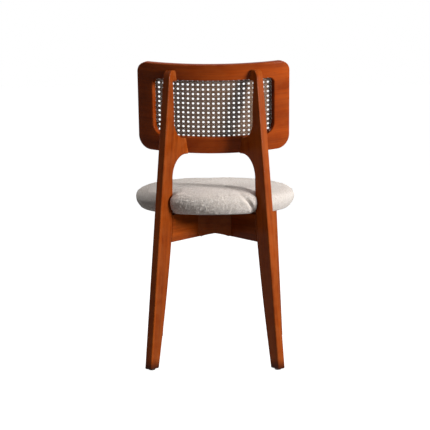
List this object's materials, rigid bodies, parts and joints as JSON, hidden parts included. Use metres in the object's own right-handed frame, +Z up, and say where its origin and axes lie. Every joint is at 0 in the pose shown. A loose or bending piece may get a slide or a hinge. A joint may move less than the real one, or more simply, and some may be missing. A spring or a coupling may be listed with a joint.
{
  "type": "cane back dining chair",
  "caption": "Dining chair with board legs on a crossed under-frame, a bent back frame with a woven cane window, and a round padded seat.",
  "frame": {"origin": "middle of the outer box, on the floor", "axes": "+Z up; the chair faces -Y, its back is towards +Y and its left side, the sitter's left, is +X"},
  "size_m": [0.4258, 0.4718, 0.7906],
  "materials": {
    "stained_wood": "satin red-brown stain",
    "cane": "matt woven cane",
    "plain_wood": "raw",
    "plywood": "raw",
    "foam": "open cell foam",
    "seat_cloth": "looped off-white cloth",
    "lining": "thin non-woven cloth",
    "screw_steel": "plated",
    "glide_plastic": "moulded"
  },
  "bodies": {
    "root": {"rear_leg_left": "stained_wood", "rear_leg_right": "stained_wood", "front_leg_left": "stained_wood", "front_leg_right": "stained_wood", "cross_rail_upper": "stained_wood", "cross_rail_lower": "stained_wood", "rear_corner_block": "stained_wood", "front_corner_block": "stained_wood", "backrest_frame": "stained_wood", "cane_panel": "cane", "cane_spline": "stained_wood", "back_dowel_top_left": "plain_wood", "back_dowel_top_right": "plain_wood", "back_dowel_low_left": "plain_wood", "back_dowel_low_right": "plain_wood", "block_dowel_rear_left": "plain_wood", "block_dowel_rear_right": "plain_wood", "block_dowel_front_left": "plain_wood", "block_dowel_front_right": "plain_wood", "seat_board": "plywood", "seat_foam": "foam", "seat_cover": "seat_cloth", "base_cloth": "lining", "seat_screw_1": "screw_steel", "seat_screw_2": "screw_steel", "seat_screw_3": "screw_steel", "seat_screw_4": "screw_steel", "glide_rear_left": "glide_plastic", "glide_rear_right": "glide_plastic", "glide_front_left": "glide_plastic", "glide_front_right": "glide_plastic"}
  },
  "joints": []
}
